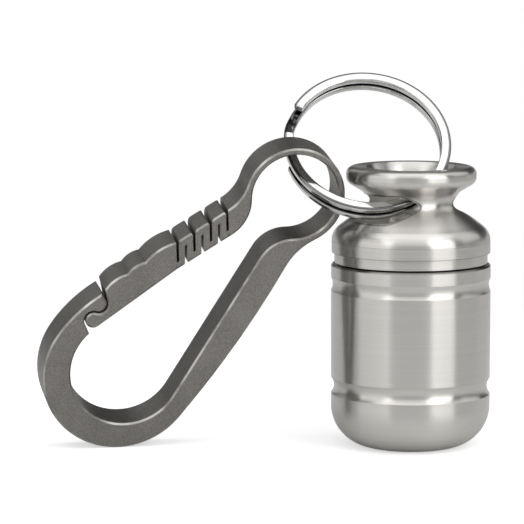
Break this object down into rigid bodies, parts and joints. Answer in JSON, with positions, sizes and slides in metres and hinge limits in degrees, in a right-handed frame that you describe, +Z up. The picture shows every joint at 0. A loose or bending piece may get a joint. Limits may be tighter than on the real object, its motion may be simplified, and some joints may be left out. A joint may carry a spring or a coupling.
{
  "type": "pill fob keychain",
  "caption": "Small screw-top metal pill can with a waisted, windowed cap, hung by a split ring from a one-piece carabiner with a slotted spring gate.",
  "frame": {"origin": "centre of the can's flat base, where it stands", "axes": "+Z up along the can's axis; the pictured front faces -Y, with the carabiner towards -X"},
  "size_m": [0.0541, 0.019, 0.0442],
  "materials": {
    "turned_titanium": "fine turned",
    "nitrile_seal": "satin",
    "ring_steel": "polished",
    "blasted_titanium": "blasted and tumbled, edges worn bright"
  },
  "bodies": {
    "can": {"can_body": "turned_titanium"},
    "seal": {"o_ring": "nitrile_seal"},
    "cap": {"cap": "turned_titanium"},
    "ring": {"split_ring": "ring_steel"},
    "carabiner": {"carabiner_frame": "blasted_titanium", "gate_flexure": "blasted_titanium"},
    "gate": {"carabiner_gate": "blasted_titanium"}
  },
  "joints": [
    {"name": "cap_lift", "type": "slide", "parent": "can", "child": "seal", "axis": [0, 0, 1], "range_m": [0, 0.00601]},
    {"name": "cap_turn", "type": "hinge", "parent": "seal", "child": "cap", "pos_m": [0, 0, 0.022], "axis": [0, 0, 1], "range_deg": [0, 2160]},
    {"name": "ring_swing", "type": "hinge", "parent": "cap", "child": "ring", "pos_m": [-0.00009, -0.00318, 0.02967], "axis": [0.8346, 0.397, 0.3819], "range_deg": [0, 34]},
    {"name": "carabiner_swing", "type": "hinge", "parent": "ring", "child": "carabiner", "pos_m": [-0.01428, -0.00177, 0.03078], "axis": [-0.2034, 0.9568, 0.2079], "range_deg": [0, 70]},
    {"name": "gate_open", "type": "hinge", "parent": "carabiner", "child": "gate", "pos_m": [-0.02522, -0.00304, 0.0259], "axis": [0.2034, -0.9568, -0.2079], "range_deg": [0, 20], "stiffness_Nm_per_rad": 0.3, "deforming": ["gate_flexure"]}
  ],
  "couplings": [
    {"joint": "cap_lift", "follows": "cap_turn", "m_per_rad": 0.00015915}
  ]
}
